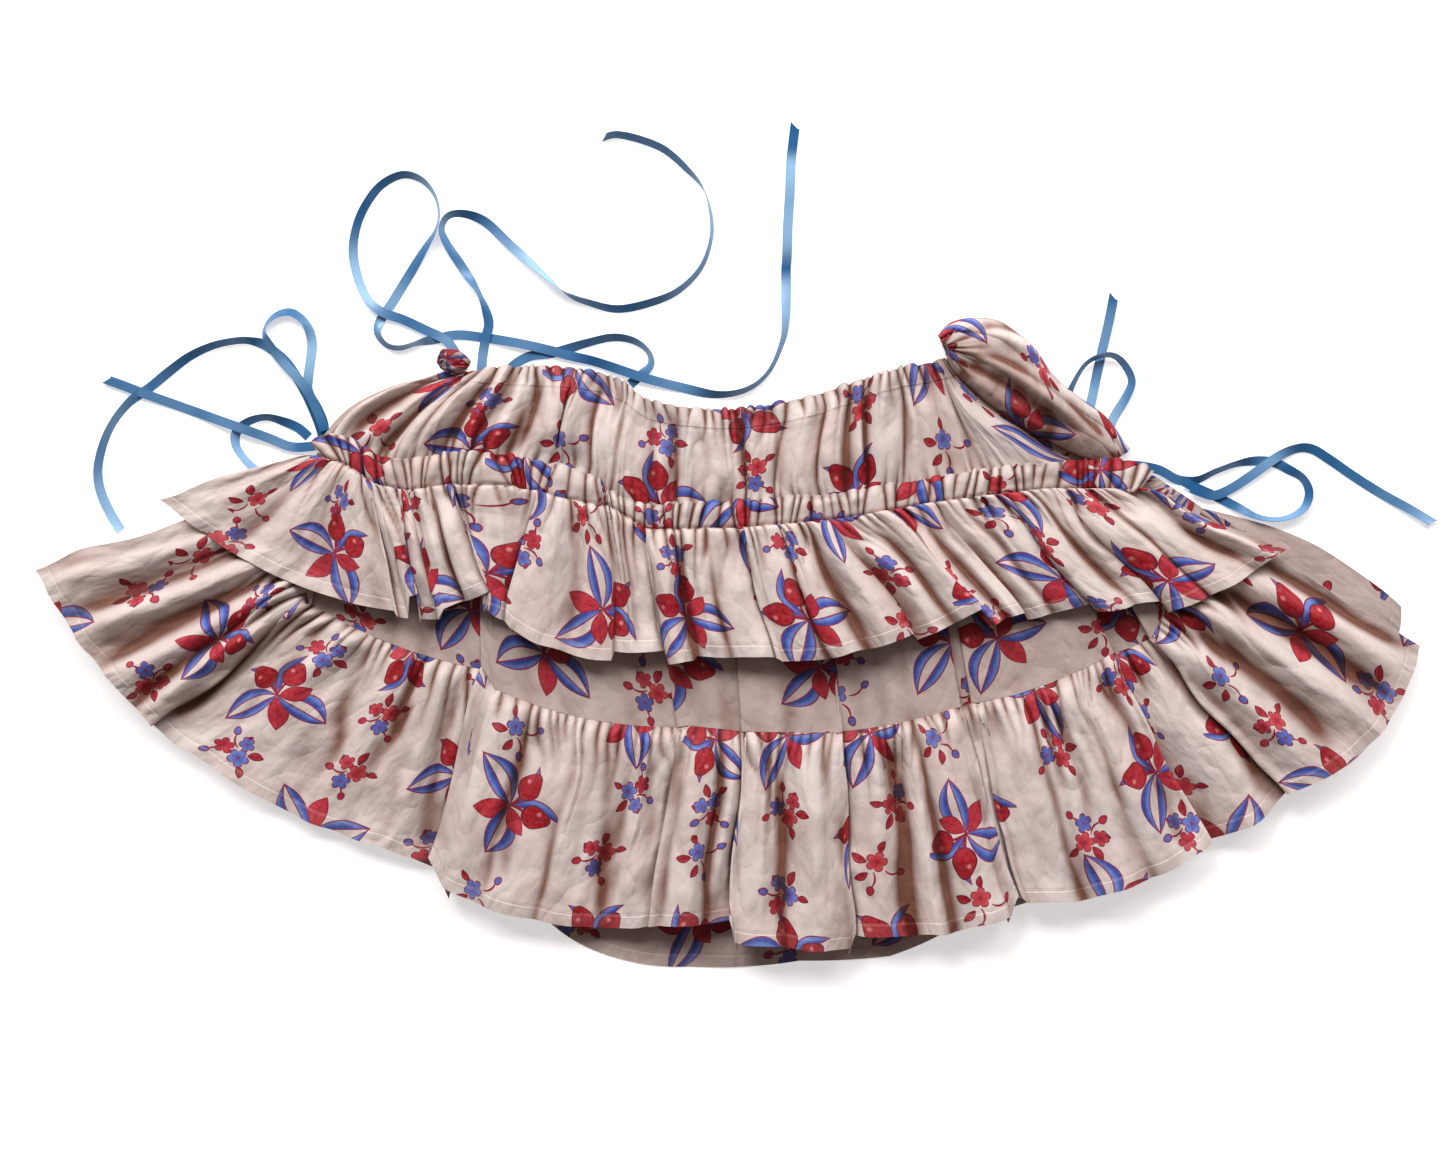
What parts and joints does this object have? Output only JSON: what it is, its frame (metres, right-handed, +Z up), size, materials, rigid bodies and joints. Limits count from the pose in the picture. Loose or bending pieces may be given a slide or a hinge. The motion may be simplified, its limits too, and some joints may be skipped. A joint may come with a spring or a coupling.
{
  "type": "tiered ruffle mini skirt",
  "caption": "Tiered mini skirt laid flat: gathered waist casing, a gathered ruffle over a plain band, a full flounce and satin ribbon ties.",
  "frame": {"origin": "on the floor, under the middle of the laid cloth without its ribbons", "axes": "+X to the right along the hem's span, +Y up the skirt to its waist, +Z up from the surface it lies on"},
  "size_m": [0.9287, 0.5609, 0.0197],
  "materials": {
    "printed_cotton": "matt woven cotton with a tossed print",
    "satin_ribbon": "satin"
  },
  "bodies": {
    "root": {"front_tier": "printed_cotton", "front_band": "printed_cotton", "front_flounce": "printed_cotton", "front_ruffle": "printed_cotton", "front_ruffle_casing": "printed_cotton", "right_side_fold": "printed_cotton", "waist_casing_end": "printed_cotton", "back_tier": "printed_cotton", "back_band": "printed_cotton", "back_flounce": "printed_cotton", "back_ruffle": "printed_cotton", "ribbon_waist_long": "satin_ribbon", "ribbon_waist_short": "satin_ribbon", "ribbon_waist_loop": "satin_ribbon", "ribbon_left_loop": "satin_ribbon", "ribbon_left_long": "satin_ribbon", "ribbon_left_end": "satin_ribbon", "ribbon_left_curl": "satin_ribbon", "ribbon_right_end": "satin_ribbon", "ribbon_right_curl": "satin_ribbon", "ribbon_right_loop": "satin_ribbon", "ribbon_right_long": "satin_ribbon"}
  },
  "joints": []
}
